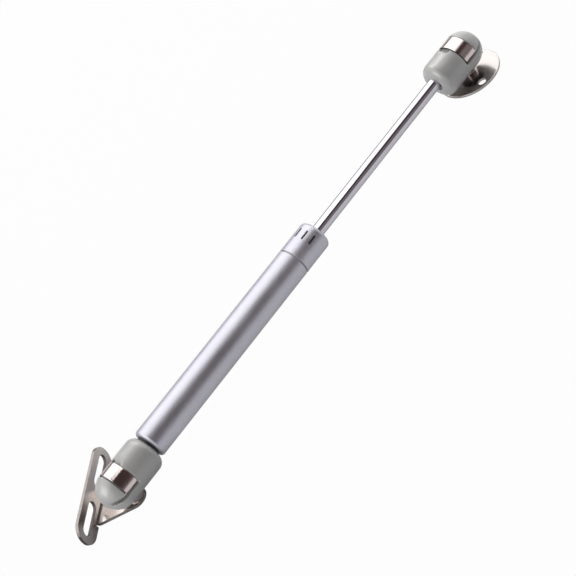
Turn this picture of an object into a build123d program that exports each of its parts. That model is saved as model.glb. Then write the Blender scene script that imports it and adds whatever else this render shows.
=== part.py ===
from build123d import *
import math
import os

# Gas strut for a lid, at full extension, lying level on its two mounting plates.
# Millimetres. +X runs from the tube to the rod, +Z away from the mounting surface.
# The origin is the centre of the round plate's mounting face.

# Overall layout
centre_distance = 245.0     # ball centre to ball centre, extended
stroke = 90.0
axis_height = 13.0          # ball centres above the mounting surface
reserve = 0.3               # length kept free at each end of the stroke

# Clearances
running_fit = 0.05          # radial, sliding and turning pieces
seat_fit = 0.03             # radial, pieces pressed or screwed together
clip_gap = 0.25             # round the clip in its recess
overcut = 1.0               # how far a cutting shape reaches past the face it opens

# Pressure tube
tube_diameter = 15.0
tube_wall = 1.0
tube_rim_radius = 1.7       # rolled outer edge at both ends
rim_share = 0.8             # largest share of the end face that the rolled edge takes
rim_lip = 1.25              # radial, how far the tube's left end closes over the plug
groove_offset = 16.6        # groove's middle from the tube's rod end
groove_width = 0.9
groove_depth = 0.4
tube_to_socket = 0.7        # plug flange that shows between tube and socket

# Rod and piston
rod_diameter = 6.0
rod_tail_diameter = 3.6     # reduced end that carries the piston
rod_head_diameter = 5.4     # riveted end
rod_head_length = 0.8
washer_thickness = 0.6
washer_gap = 1.7            # radial, between the washers and the bore
piston_length = 2.8
ring_width = 1.2
ring_thickness = 1.1
metering_width = 0.6

# Closing plug at the tube's end
plug_length = 4.5
o_ring_thickness = 1.5
o_ring_squeeze = 0.05
o_ring_flat = 0.2           # how much the squeezed ring is lower than it is wide

# Guide and seal at the rod's end
rod_opening_gap = 2.0       # radial, between the rod and the tube's rim
guide_washer_thickness = 1.0
guide_length = 6.0
seal_length = 4.0
seal_lip_depth = 1.2
seal_lip_thickness = 0.8
support_gap = 0.6           # radial, between the rod and the seal's support ring

# Ball sockets
socket_diameter = 18.0
socket_offset = 1.0         # socket's own axis below the strut's axis
socket_reach = 18.0         # ball centre to the shoulder end
socket_dome = 12.0          # ball centre to the tip of the dome
socket_shoulder_radius = 3.0
mouth_depth = 9.0           # ball centre down to the flat round the mouth
mouth_flare = 1.6
thread_diameter = 6.0
thread_depth = 10.5
entry_clearance = 0.5       # relief round the rod where it enters
entry_depth = 2.0
slit_height = 2.1
slit_drop = 0.65            # slit's middle below the strut's axis
slit_depth_radius = 4.6     # slit's inner wall from the strut's axis
notch_width = 5.0
notch_length = 3.4
notch_depth = 1.5

# Retaining clips
clip_width = 6.9
clip_lift = 1.125           # clip's lower edge above the slit's floor
clip_thickness = 0.85
hook_reach = 2.3            # hook past the band, towards the dome
hook_inset = 1.1            # hook's outer edge inside the socket's surface

# Ball studs
ball_diameter = 10.0
neck_diameter = 6.0
collar_diameter = 8.5
collar_height = 2.3
shank_diameter = 5.0
rivet_head_diameter = 6.8
rivet_head_depth = 0.7

# Round plate
plate_diameter = 30.0
plate_thickness = 1.2
plate_hole_diameter = 4.2
plate_hole_circle = 23.0
plate_hole_count = 3
plate_hole_angle = -107.5   # first hole, from +X
edge_break = 0.25

# Angle bracket
bracket_thickness = 1.5
bracket_angle = 35.7        # upright flange's length from +X
bracket_length = 47.0
bracket_shift = 1.5         # upright flange's middle along its length from the stud
bracket_height = 13.1
bracket_setback = 17.4      # stud axis to the upright flange's inner face
bracket_corner = 6.0
fold_radius = 0.8           # inside the bend
foot_half_width = 9.85      # tapered flange at the bend
foot_tip_radius = 5.6
foot_tip_offset = 1.3       # tip's centre from the stud, towards the bend
relief_width = 0.9
slot_length = 16.5
slot_width = 5.2
slot_pitch = 24.2
slot_level = 6.8

# Derived places along the strut
rod_ball_x = 0.0
tube_ball_x = rod_ball_x - centre_distance
tube_left = tube_ball_x + socket_reach + tube_to_socket
tube_right = rod_ball_x - socket_reach - stroke - reserve
tube_radius = tube_diameter / 2
bore_radius = tube_radius - tube_wall
rod_radius = rod_diameter / 2
ball_radius = ball_diameter / 2
groove_x = tube_right - groove_offset
groove_half = groove_width / 2
guide_washer_x = tube_right - tube_wall
guide_x = guide_washer_x - guide_washer_thickness
seal_x = guide_x - guide_length
support_x = seal_x - seal_length
bead_right = groove_x + groove_half
bead_left = groove_x - groove_half
piston_front = bead_left - reserve
front_washer_x = piston_front - washer_thickness
piston_x = front_washer_x - piston_length
back_washer_x = piston_x - washer_thickness
rod_end_x = back_washer_x - rod_head_length
plug_x = tube_left + tube_wall
lip_radius = bore_radius - rim_lip
plug_flange_radius = lip_radius - running_fit
washer_radius = bore_radius - washer_gap
rod_opening = rod_radius + rod_opening_gap
fit_radius = bore_radius - seat_fit
socket_radius = socket_diameter / 2
clip_seat_radius = socket_radius - clip_thickness - running_fit
slit_floor = -slit_drop - slit_height / 2
clip_floor = slit_floor + clip_lift
thread_radius = thread_diameter / 2

strut_axis = Axis((0, 0, axis_height), (1, 0, 0))
side_plane = Plane(origin=(0, 0, axis_height), x_dir=(1, 0, 0), z_dir=(0, -1, 0))

os.makedirs("parts", exist_ok=True)


def finish(piece, name):
    """Label one piece and write its STEP file."""
    piece.part.label = name
    export_step(piece.part, "parts/" + name + ".step")


def turned(points):
    """Turn a closed half profile, (x, radius) points, about the strut's axis."""
    with BuildPart() as piece:
        with BuildSketch(side_plane):
            with BuildLine():
                Polyline(*points, close=True)
            make_face()
        revolve(axis=strut_axis)
    return piece


def end_rings(piece, index, radius):
    """Circular edges of one radius at the first (0) or last (-1) face along X."""
    rings = piece.edges().filter_by(GeomType.CIRCLE).group_by(Axis.X)[index]
    return rings.filter_by(lambda edge: abs(edge.radius - radius) < 0.01)


# Pressure tube: rolled in at both ends, with a groove whose bead stops the seal stack
with BuildPart() as tube:
    with BuildSketch(side_plane):
        with BuildLine():
            Polyline(
                (bead_left, bore_radius),
                (tube_left + tube_wall, bore_radius),
                (tube_left + tube_wall, lip_radius),
                (tube_left, lip_radius),
                (tube_left, tube_radius),
                (bead_left, tube_radius),
            )
            ThreePointArc(
                (bead_left, tube_radius),
                (groove_x, tube_radius - groove_depth),
                (bead_right, tube_radius),
            )
            Polyline(
                (bead_right, tube_radius),
                (tube_right, tube_radius),
                (tube_right, rod_opening),
                (tube_right - tube_wall, rod_opening),
                (tube_right - tube_wall, bore_radius),
                (bead_right, bore_radius),
            )
            ThreePointArc(
                (bead_right, bore_radius),
                (groove_x, bore_radius - groove_depth),
                (bead_left, bore_radius),
            )
        make_face()
    revolve(axis=strut_axis)
    for end_index, opening in ((-1, rod_opening), (0, lip_radius)):
        rim_radius = min(tube_rim_radius, rim_share * (tube_radius - opening))
        fillet(end_rings(tube, end_index, tube_radius), rim_radius)
finish(tube, "tube")

# Closing plug: sealed in the bore, with the threaded stud that carries the socket
plug_inner_x = plug_x + plug_length
o_ring_x = plug_x + plug_length / 2
o_ring_half = o_ring_thickness / 2 + running_fit
o_ring_floor = bore_radius - o_ring_thickness + o_ring_squeeze
stud_end_x = tube_ball_x + socket_reach - thread_depth + reserve
end_plug = turned([
    (stud_end_x, 0),
    (stud_end_x, thread_radius - seat_fit),
    (tube_left - tube_to_socket, thread_radius - seat_fit),
    (tube_left - tube_to_socket, plug_flange_radius),
    (plug_x, plug_flange_radius),
    (plug_x, fit_radius),
    (o_ring_x - o_ring_half, fit_radius),
    (o_ring_x - o_ring_half, o_ring_floor),
    (o_ring_x + o_ring_half, o_ring_floor),
    (o_ring_x + o_ring_half, fit_radius),
    (plug_inner_x, fit_radius),
    (plug_inner_x, 0),
])
finish(end_plug, "end_plug")

# The plug's seal, round in section and squeezed flat against the bore
with BuildPart() as plug_o_ring:
    with BuildSketch(side_plane):
        with Locations((o_ring_x, (bore_radius + o_ring_floor) / 2)):
            SlotOverall(o_ring_thickness, o_ring_thickness - o_ring_flat)
    revolve(axis=strut_axis)
finish(plug_o_ring, "plug_o_ring")

# Piston rod: chromed shaft, reduced tail for the piston, riveted end, threaded tip
rod_tip_x = rod_ball_x - socket_reach + thread_depth - reserve
rod_thread_x = rod_ball_x - socket_reach + entry_depth
tail_radius = rod_tail_diameter / 2
rod = turned([
    (rod_end_x, 0),
    (rod_end_x, rod_head_diameter / 2),
    (rod_end_x + rod_head_length, rod_head_diameter / 2),
    (rod_end_x + rod_head_length, tail_radius),
    (piston_front, tail_radius),
    (piston_front, rod_radius),
    (rod_thread_x, rod_radius),
    (rod_thread_x, thread_radius - seat_fit),
    (rod_tip_x, thread_radius - seat_fit),
    (rod_tip_x, 0),
])
finish(rod, "rod")

# Washers on both sides of the piston
washer_bore = tail_radius + seat_fit
piston_washers = {"piston_front_washer": front_washer_x, "piston_back_washer": back_washer_x}
for washer_name, washer_x in piston_washers.items():
    washer = turned([
        (washer_x, washer_bore),
        (washer_x, washer_radius),
        (washer_x + washer_thickness, washer_radius),
        (washer_x + washer_thickness, washer_bore),
    ])
    finish(washer, washer_name)

# Piston: a ring groove round it and a metering channel along its bottom
piston_radius = bore_radius - 0.25
ring_x = piston_x + (piston_length - ring_width) / 2 - running_fit
ring_end_x = ring_x + ring_width + 2 * running_fit
ring_outer = bore_radius - running_fit
ring_inner = ring_outer - ring_thickness
ring_floor = ring_inner - running_fit
with BuildPart() as piston:
    with BuildSketch(side_plane):
        with BuildLine():
            Polyline(
                (piston_x, washer_bore),
                (piston_x, piston_radius),
                (ring_x, piston_radius),
                (ring_x, ring_floor),
                (ring_end_x, ring_floor),
                (ring_end_x, piston_radius),
                (front_washer_x, piston_radius),
                (front_washer_x, washer_bore),
                close=True,
            )
        make_face()
    revolve(axis=strut_axis)
    with BuildSketch(Plane(origin=(piston_x, 0, axis_height), x_dir=(0, 1, 0), z_dir=(1, 0, 0))):
        with Locations((0, -piston_radius)):
            Rectangle(metering_width, 2 * metering_width)
    extrude(amount=piston_length, mode=Mode.SUBTRACT)
finish(piston, "piston")

# Piston ring: slides in the bore, split so that it can be sprung into its groove
with BuildPart() as piston_ring:
    with BuildSketch(Plane(origin=(ring_x + running_fit, 0, axis_height), x_dir=(0, 1, 0), z_dir=(1, 0, 0))):
        Circle(ring_outer)
        Circle(ring_inner, mode=Mode.SUBTRACT)
        with Locations((0, ring_outer)):
            Rectangle(metering_width, 4 * ring_thickness, mode=Mode.SUBTRACT)
    extrude(amount=ring_width)
finish(piston_ring, "piston_ring")

# Guide stack behind the tube's rolled rim
rod_bore = rod_radius + running_fit
guide_washer = turned([
    (guide_x, rod_opening),
    (guide_x, fit_radius),
    (guide_washer_x, fit_radius),
    (guide_washer_x, rod_opening),
])
finish(guide_washer, "guide_washer")

guide_bush = turned([
    (seal_x, rod_bore),
    (seal_x, fit_radius),
    (guide_x, fit_radius),
    (guide_x, rod_opening - running_fit),
    (guide_washer_x - running_fit, rod_opening - running_fit),
    (guide_washer_x - running_fit, rod_bore),
])
finish(guide_bush, "guide_bush")

# Rod seal: a rubber ring with an inner and an outer lip on the pressure side
lip_root = (rod_bore + fit_radius) / 2
rod_seal = turned([
    (support_x, rod_bore),
    (support_x, rod_bore + seal_lip_thickness),
    (support_x + seal_lip_depth, lip_root),
    (support_x, fit_radius - seal_lip_thickness),
    (support_x, fit_radius),
    (seal_x, fit_radius),
    (seal_x, rod_bore),
])
finish(rod_seal, "rod_seal")

# Ring that holds the seal against the bead of the groove
support_left = bead_right
support_bore = rod_radius + support_gap
seal_support = turned([
    (support_left, support_bore),
    (support_left, fit_radius),
    (support_x, fit_radius),
    (support_x, support_bore),
])
finish(seal_support, "seal_support")


def ball_socket(ball_x, way):
    """Moulded socket at ball_x; way is +1 where the strut lies towards +X, else -1."""
    centre = (ball_x, 0, axis_height)
    profile_plane = Plane(origin=centre, x_dir=(way, 0, 0), z_dir=(0, -way, 0))
    across_plane = Plane(origin=centre, x_dir=(0, 1, 0), z_dir=(1, 0, 0))
    level_plane = Plane.XY.offset(axis_height)
    slit_plane = Plane.XY.offset(axis_height - slit_drop)
    shoulder_plane = Plane(
        origin=(ball_x + way * socket_reach, 0, axis_height), x_dir=(0, 1, 0), z_dir=(way, 0, 0)
    )
    own_axis = Axis((ball_x, 0, axis_height - socket_offset), (1, 0, 0))
    dome_x = socket_radius - socket_dome
    shoulder_x = socket_reach - socket_shoulder_radius
    top = socket_radius - socket_offset
    seat_half = clip_width / 2 + clip_gap
    slit_start = -socket_dome
    slit_length = seat_half - slit_start
    slit_middle = way * (slit_start + slit_length / 2)
    slit_reach = socket_radius + overcut - slit_depth_radius
    with BuildPart() as socket:
        with BuildSketch(profile_plane):
            with BuildLine():
                dome = CenterArc((dome_x, -socket_offset), socket_radius, 180, -90)
                side = Line(dome @ 1, (shoulder_x, top))
                corner = CenterArc(
                    (shoulder_x, top - socket_shoulder_radius), socket_shoulder_radius, 90, -90
                )
                Polyline(corner @ 1, (socket_reach, -socket_offset), dome @ 0)
            make_face()
        revolve(axis=own_axis)
        # flat round the mouth
        split(bisect_by=Plane.XY.offset(axis_height - mouth_depth), keep=Keep.TOP)
        # ball seat, mouth and flare
        with Locations(centre):
            Sphere(ball_radius + running_fit, mode=Mode.SUBTRACT)
        with BuildSketch(level_plane):
            with Locations((ball_x, 0)):
                Circle(ball_radius + running_fit)
        extrude(amount=-mouth_depth, mode=Mode.SUBTRACT)
        with Locations((ball_x, 0, axis_height - mouth_depth)):
            Cone(
                ball_radius + mouth_flare,
                ball_radius,
                mouth_flare,
                align=(Align.CENTER, Align.CENTER, Align.MIN),
                mode=Mode.SUBTRACT,
            )
        # threaded hole and the relief at its entry
        with BuildSketch(shoulder_plane):
            Circle(thread_radius)
        extrude(amount=-thread_depth, mode=Mode.SUBTRACT)
        with BuildSketch(shoulder_plane):
            Circle(rod_radius + entry_clearance)
        extrude(amount=-entry_depth, mode=Mode.SUBTRACT)
        # recess for the clip, round the back half
        with BuildSketch(across_plane):
            with Locations((0, -socket_offset)):
                Circle(socket_radius + overcut)
                Circle(clip_seat_radius, mode=Mode.SUBTRACT)
            with Locations((0, slit_floor)):
                Rectangle(
                    socket_diameter * 2,
                    socket_diameter,
                    align=(Align.CENTER, Align.MAX),
                    mode=Mode.SUBTRACT,
                )
        extrude(amount=seat_half, both=True, mode=Mode.SUBTRACT)
        # slits for the clip's hooks, open to the dome end
        with BuildSketch(slit_plane):
            for side_sign in (-1, 1):
                slit_y = side_sign * (slit_depth_radius + slit_reach / 2)
                with Locations((ball_x + slit_middle, slit_y)):
                    Rectangle(slit_length, slit_reach)
        extrude(amount=slit_height / 2, both=True, mode=Mode.SUBTRACT)
        # notch for a screwdriver under the clip's edge
        with BuildSketch(profile_plane):
            with BuildLine():
                Polyline(
                    (0, top - notch_depth),
                    (seat_half, top - notch_depth),
                    (seat_half + notch_length, top + overcut / 10),
                    (0, top + overcut / 10),
                    close=True,
                )
            make_face()
        extrude(amount=notch_width / 2, both=True, mode=Mode.SUBTRACT)
    return socket


def retaining_clip(ball_x, way):
    """Sheet clip of a socket: a band round the back with a hook under each side."""
    centre = (ball_x, 0, axis_height)
    across_plane = Plane(origin=centre, x_dir=(0, 1, 0), z_dir=(1, 0, 0))
    hook_plane = Plane.XY.offset(axis_height + clip_floor)
    band_half = clip_width / 2
    hook_inner = slit_depth_radius + running_fit
    hook_outer = socket_radius - hook_inset
    band_outer = socket_radius - 2 * running_fit
    with BuildPart() as clip:
        with BuildSketch(across_plane):
            with Locations((0, -socket_offset)):
                Circle(socket_radius)
                Circle(socket_radius - clip_thickness, mode=Mode.SUBTRACT)
            with Locations((0, clip_floor)):
                Rectangle(
                    socket_diameter * 2,
                    socket_diameter,
                    align=(Align.CENTER, Align.MAX),
                    mode=Mode.SUBTRACT,
                )
        extrude(amount=band_half, both=True)
        with BuildSketch(hook_plane):
            for side_sign in (-1, 1):
                hook_y = side_sign * (hook_inner + hook_outer) / 2
                with Locations((ball_x - way * (hook_reach + running_fit) / 2, hook_y)):
                    Rectangle(clip_width + hook_reach - running_fit, hook_outer - hook_inner)
                bend_y = side_sign * (hook_inner + band_outer) / 2
                with Locations((ball_x, bend_y)):
                    Rectangle(clip_width, band_outer - hook_inner)
        extrude(amount=clip_thickness)
        with Locations(centre):
            Sphere(ball_radius + running_fit, mode=Mode.SUBTRACT)
    return clip


def ball_stud(ball_x, sheet):
    """Ball stud riveted in a sheet of the given thickness, standing on z = 0."""
    stud_plane = Plane(origin=(ball_x, 0, 0), x_dir=(1, 0, 0), z_dir=(0, -1, 0))
    neck_radius = neck_diameter / 2
    collar_top = sheet + collar_height
    shank_radius = shank_diameter / 2
    neck_top = axis_height - math.sqrt(ball_radius ** 2 - neck_radius ** 2)
    with BuildPart() as stud:
        with BuildSketch(stud_plane):
            with BuildLine():
                Polyline(
                    (0, axis_height + ball_radius),
                    (0, 0),
                    (rivet_head_diameter / 2, 0),
                    (shank_radius, rivet_head_depth),
                    (shank_radius, sheet),
                    (collar_diameter / 2, sheet),
                    (collar_diameter / 2, collar_top),
                    (neck_radius, collar_top),
                    (neck_radius, neck_top),
                )
                ThreePointArc(
                    (neck_radius, neck_top),
                    (ball_radius, axis_height),
                    (0, axis_height + ball_radius),
                )
            make_face()
        revolve(axis=Axis((ball_x, 0, 0), (0, 0, 1)))
        rims = stud.edges().filter_by(GeomType.CIRCLE)
        collar_rim = rims.filter_by(lambda edge: abs(edge.radius - collar_diameter / 2) < 0.01)
        fillet(collar_rim.sort_by(Axis.Z)[-1], edge_break * 2)
    return stud


# Sockets, clips and ball studs at both ends
ends = {
    "tube_end": (tube_ball_x, 1, bracket_thickness),
    "rod_end": (rod_ball_x, -1, plate_thickness),
}
for end_name, (ball_x, way, sheet) in ends.items():
    finish(ball_socket(ball_x, way), end_name + "_socket")
    finish(retaining_clip(ball_x, way), end_name + "_clip")
    finish(ball_stud(ball_x, sheet), end_name + "_ball_stud")


def rivet_hole_points():
    """Half profile, (radius, z) points, of the countersunk hole for a stud's shank."""
    return [
        (0, -overcut),
        (rivet_head_diameter / 2 + seat_fit, -overcut),
        (rivet_head_diameter / 2 + seat_fit, 0),
        (shank_diameter / 2 + seat_fit, rivet_head_depth),
        (shank_diameter / 2 + seat_fit, 2 * bracket_thickness),
        (0, 2 * bracket_thickness),
    ]


# Round plate with its screw holes
with BuildPart() as round_plate:
    with BuildSketch(Plane.XY):
        with Locations((rod_ball_x, 0)):
            Circle(plate_diameter / 2)
    extrude(amount=plate_thickness)
    outer_rings = round_plate.edges().filter_by(GeomType.CIRCLE)
    fillet(outer_rings, edge_break)
    with BuildSketch(Plane.XY):
        with PolarLocations(plate_hole_circle / 2, plate_hole_count, start_angle=plate_hole_angle):
            Circle(plate_hole_diameter / 2)
    extrude(amount=plate_thickness, mode=Mode.SUBTRACT)
    with BuildSketch(Plane(origin=(rod_ball_x, 0, 0), x_dir=(1, 0, 0), z_dir=(0, -1, 0))):
        with BuildLine():
            Polyline(*rivet_hole_points(), close=True)
        make_face()
    revolve(axis=Axis((rod_ball_x, 0, 0), (0, 0, 1)), mode=Mode.SUBTRACT)
finish(round_plate, "round_plate")

# Angle bracket: in its own plane x runs along the upright flange and y points to it
turn = math.radians(bracket_angle)
along = (math.cos(turn), math.sin(turn), 0)
inward = (-math.sin(turn), math.cos(turn), 0)
foot_plane = Plane(origin=(tube_ball_x, 0, 0), x_dir=along, z_dir=(0, 0, 1))
fold_plane = Plane(origin=(tube_ball_x, 0, 0), x_dir=inward, z_dir=along)
upright_plane = Plane(
    origin=(
        tube_ball_x + inward[0] * bracket_setback,
        inward[1] * bracket_setback,
        0,
    ),
    x_dir=along,
    z_dir=(-inward[0], -inward[1], 0),
)
outer_fold = fold_radius + bracket_thickness
bracket_back = bracket_setback + bracket_thickness
foot_front = foot_tip_radius - foot_tip_offset + overcut
fold_start = bracket_back - outer_fold
with BuildPart() as angle_bracket:
    # folded strip, an L in section
    with BuildSketch(fold_plane):
        with BuildLine():
            Polyline(
                (bracket_setback, outer_fold),
                (bracket_setback, bracket_height / 2),
                (bracket_back, bracket_height / 2),
                (bracket_back, outer_fold),
            )
            CenterArc((fold_start, outer_fold), outer_fold, 0, -90)
            Polyline(
                (fold_start, 0),
                (-foot_front, 0),
                (-foot_front, bracket_thickness),
                (bracket_setback - fold_radius, bracket_thickness),
            )
            CenterArc((bracket_setback - fold_radius, outer_fold), fold_radius, -90, 90)
        make_face()
    extrude(amount=foot_half_width, both=True)
    # foot tapered to its rounded tip
    with BuildSketch(foot_plane):
        with Locations((0, -foot_front - overcut)):
            Rectangle(
                2 * (foot_half_width + overcut),
                fold_start + foot_front + overcut,
                align=(Align.CENTER, Align.MIN),
            )
        with BuildSketch(foot_plane, mode=Mode.PRIVATE) as foot_outline:
            with Locations((0, foot_tip_offset)):
                Circle(foot_tip_radius)
            with Locations((0, fold_start)):
                Rectangle(2 * foot_half_width, overcut)
            make_hull()
        add(foot_outline.sketch_local, mode=Mode.SUBTRACT)
    extrude(amount=2 * bracket_thickness, mode=Mode.SUBTRACT)
    # upright flange with its slots, cut clear of the fold
    with BuildSketch(upright_plane) as upright:
        with Locations((bracket_shift, bracket_height / 2)):
            RectangleRounded(bracket_length, bracket_height, bracket_corner)
            with GridLocations(slot_pitch, 1, 2, 1):
                with Locations((0, slot_level - bracket_height / 2)):
                    SlotOverall(slot_length, slot_width, mode=Mode.SUBTRACT)
        Rectangle(
            2 * (foot_half_width + relief_width),
            2 * outer_fold,
            mode=Mode.SUBTRACT,
        )
    extrude(amount=-bracket_thickness)
    with BuildSketch(fold_plane):
        with BuildLine():
            Polyline(*rivet_hole_points(), close=True)
        make_face()
    revolve(axis=Axis((tube_ball_x, 0, 0), (0, 0, 1)), mode=Mode.SUBTRACT)
finish(angle_bracket, "angle_bracket")
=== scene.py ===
"""Gas strut for a furniture lid, lying level on its two mounting plates.

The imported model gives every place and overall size. The classes below build the
visible skins of the strut around it, in metres and in the same frame: +X runs from
the tube to the rod, +Z points away from the mounting surface.
"""

import logging
import math
from contextlib import contextmanager
from dataclasses import dataclass, replace
from enum import Enum
from typing import Any, Callable, Iterator, Sequence

import bmesh
import bpy
from mathutils import Matrix, Vector


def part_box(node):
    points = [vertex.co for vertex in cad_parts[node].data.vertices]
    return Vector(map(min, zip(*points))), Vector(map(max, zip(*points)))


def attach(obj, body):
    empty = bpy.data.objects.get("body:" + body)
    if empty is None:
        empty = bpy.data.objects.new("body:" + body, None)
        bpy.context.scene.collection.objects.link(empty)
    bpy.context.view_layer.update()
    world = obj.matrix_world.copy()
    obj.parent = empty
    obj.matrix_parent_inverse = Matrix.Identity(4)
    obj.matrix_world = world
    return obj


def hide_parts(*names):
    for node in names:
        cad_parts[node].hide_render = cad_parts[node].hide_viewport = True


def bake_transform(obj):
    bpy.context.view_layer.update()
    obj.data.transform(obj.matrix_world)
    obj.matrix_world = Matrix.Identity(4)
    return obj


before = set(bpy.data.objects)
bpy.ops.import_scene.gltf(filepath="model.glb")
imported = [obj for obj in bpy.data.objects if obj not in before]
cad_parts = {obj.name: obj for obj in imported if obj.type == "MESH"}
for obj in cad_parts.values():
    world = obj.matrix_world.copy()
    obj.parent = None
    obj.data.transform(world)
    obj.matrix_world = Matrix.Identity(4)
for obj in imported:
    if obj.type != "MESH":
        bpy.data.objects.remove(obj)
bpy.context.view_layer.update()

MM = 0.001
QUARTER = math.pi / 2
SAME_PLACE = 1e-7
TINY = 1e-8
IMAGE_SIDE_PX = 576
log = logging.getLogger("gas_strut")

Point = tuple[float, float]
Triple = tuple[float, float, float]
Tone = tuple[float, Triple]
Piece = bpy.types.Object
Mesh = bpy.types.Mesh
Socket = bpy.types.NodeSocket


class Grain(Enum):
    """The fine pattern that a finish shows, with its scale along each axis."""

    SPECKLED = ("speckled", 1.0, 1.0, 1.0)
    MOULDED = ("moulded", 1.0, 1.0, 1.0)
    DRAWN = ("drawn", 0.02, 1.0, 1.0)
    TURNED = ("turned", 0.12, 0.12, 2.0)
    ROLLED = ("rolled", 0.25, 0.6, 1.0)


class TurnAxis(Enum):
    """The axis that a turned piece is round about."""

    STRUT = "strut"
    UPRIGHT = "upright"


class NodeGraph:
    """Short helper that adds and joins the nodes of one node tree."""

    def __init__(self, tree: bpy.types.NodeTree) -> None:
        """Take over a node tree and empty it."""
        self.tree = tree
        tree.nodes.clear()

    @classmethod
    def of(cls, owner: bpy.types.ID) -> "NodeGraph":
        """Return an empty graph for the nodes of a material or a world."""
        owner.use_nodes = True
        return cls(owner.node_tree)

    def add(self, kind: str, inputs: dict[Any, Any] | None = None, **props: Any) -> bpy.types.Node:
        """Add one node.

        Args:
            kind: The node's type name.
            inputs: Socket name or index to a plain value or to a socket to join.
            **props: Properties that are set on the node itself.

        Returns:
            The new node.
        """
        node = self.tree.nodes.new(kind)
        for name, value in props.items():
            setattr(node, name, value)
        for key, value in (inputs or {}).items():
            if isinstance(value, Socket):
                self.tree.links.new(value, node.inputs[key])
            else:
                node.inputs[key].default_value = value
        return node

    def out(self, kind: str, inputs: dict[Any, Any] | None = None, **props: Any) -> Socket:
        """Add one node as add does and return its first output."""
        return self.add(kind, inputs, **props).outputs[0]

    def math(self, operation: str, *values: Any) -> Socket:
        """Add a math node for some numbers or sockets and return its result."""
        return self.out("ShaderNodeMath", dict(enumerate(values)), operation=operation)

    def remap(self, value: Socket, start: float, end: float, low: float = 0.0, high: float = 1.0) -> Socket:
        """Return a value mapped from the range between start and end to that between low and high."""
        ends = {"From Min": start, "From Max": end, "To Min": low, "To Max": high}
        return self.out("ShaderNodeMapRange", {"Value": value, **ends})

    def noise(self, place: Socket, scale: float, detail: float) -> Socket:
        """Return a noise pattern of a place."""
        return self.out("ShaderNodeTexNoise", {"Vector": place, "Scale": scale, "Detail": detail})

    def ramp(self, value: Socket, tones: Sequence[Tone]) -> Socket:
        """Add a colour ramp.

        Args:
            value: The share that picks the colour.
            tones: The ramp's stops in order, each a share and a colour.

        Returns:
            The colour socket.
        """
        node = self.add("ShaderNodeValToRGB", {"Fac": value})
        stops = node.color_ramp.elements
        for stop, (share, color) in zip(stops, (tones[0], tones[-1])):
            stop.position = share
            stop.color = (*color, 1)
        for share, color in tones[1:-1]:
            stops.new(share).color = (*color, 1)
        return node.outputs[0]


@dataclass(frozen=True)
class Finish:
    """One surface finish, made of a base colour and its own fine grain."""

    FINE_DETAIL = 3.0
    BROAD_DETAIL = 2.0
    BROAD_SCALE = 0.04
    FINE_SHARE = 0.65
    TINT_RANGE = (0.32, 0.68)
    ROUGH_RANGE = (0.3, 0.7)
    SMOOTHEST = 0.02
    BUMP_STRENGTH = 0.6

    name: str
    color: Triple
    roughness: float
    grain: Grain
    metallic: float = 0.0
    shade: float = 0.12
    rough_spread: float = 0.06
    grain_size: float = 0.25 * MM
    bump: float = 0.01 * MM
    coat: float = 0.0
    coat_roughness: float = 0.1

    def like(self, name: str, color: Triple, roughness: float, **changes: Any) -> "Finish":
        """Return a further finish that differs from this one as told."""
        return replace(self, name=name, color=color, roughness=roughness, **changes)

    def material(self) -> bpy.types.Material:
        """Build the finish as a node material.

        Returns:
            The material, made once and found again by its name.
        """
        found = bpy.data.materials.get(self.name)
        if found is not None:
            return found
        material = bpy.data.materials.new(self.name)
        graph = NodeGraph.of(material)
        place = graph.add("ShaderNodeTexCoord").outputs["Object"]
        drawn = graph.out("ShaderNodeMapping", {"Vector": place, "Scale": self.grain.value[1:]})
        fine = graph.noise(drawn, 1 / self.grain_size, self.FINE_DETAIL)
        broad = graph.noise(place, self.BROAD_SCALE / self.grain_size, self.BROAD_DETAIL)
        fine_part = graph.math("MULTIPLY", fine, self.FINE_SHARE)
        mixed = graph.math("ADD", fine_part, graph.math("MULTIPLY", broad, 1 - self.FINE_SHARE))
        tones = [
            (share, tuple(min(1.0, channel * (1 + change)) for channel in self.color))
            for share, change in zip(self.TINT_RANGE, (-self.shade, self.shade))
        ]
        smoothest = max(self.SMOOTHEST, self.roughness - self.rough_spread)
        rough = graph.remap(mixed, *self.ROUGH_RANGE, smoothest, self.roughness + self.rough_spread)
        relief = {"Height": fine, "Distance": self.bump, "Strength": self.BUMP_STRENGTH}
        shader = {
            "Base Color": graph.ramp(mixed, tones),
            "Metallic": self.metallic,
            "Roughness": rough,
            "Normal": graph.out("ShaderNodeBump", relief),
            "Coat Weight": self.coat,
            "Coat Roughness": self.coat_roughness,
        }
        graph.add("ShaderNodeOutputMaterial", {"Surface": graph.out("ShaderNodeBsdfPrincipled", shader)})
        return material


LACQUER = Finish(
    "satin_silver_lacquer", (0.535, 0.53, 0.585), 0.44, Grain.SPECKLED, metallic=1.0,
    shade=0.10, grain_size=0.35 * MM, bump=0.012 * MM, coat=0.15, coat_roughness=0.2,
)
# Darker finish for the groove's floor: painted shade in the groove.
GROOVE_PAINTED_SHADE = LACQUER.like("groove_painted_shade", (0.29, 0.28, 0.30), 0.42, coat=0.0)
HARD_CHROME = Finish(
    "hard_chrome", (0.60, 0.585, 0.63), 0.08, Grain.DRAWN, metallic=1.0,
    shade=0.05, rough_spread=0.03, grain_size=0.12 * MM, bump=0.0008 * MM,
)
SOCKET_PLASTIC = Finish(
    "moulded_grey_nylon", (0.55, 0.545, 0.535), 0.34, Grain.MOULDED,
    shade=0.05, rough_spread=0.05, grain_size=0.30 * MM, bump=0.010 * MM, coat=0.25, coat_roughness=0.22,
)
CLIP_NICKEL = Finish(
    "clip_nickel", (0.68, 0.60, 0.58), 0.12, Grain.ROLLED, metallic=1.0,
    shade=0.06, rough_spread=0.04, grain_size=0.16 * MM, bump=0.0015 * MM,
)
SHEET_NICKEL = Finish(
    "sheet_nickel", (0.52, 0.485, 0.47), 0.19, Grain.ROLLED, metallic=1.0,
    shade=0.10, grain_size=0.30 * MM, bump=0.003 * MM,
)
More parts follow.
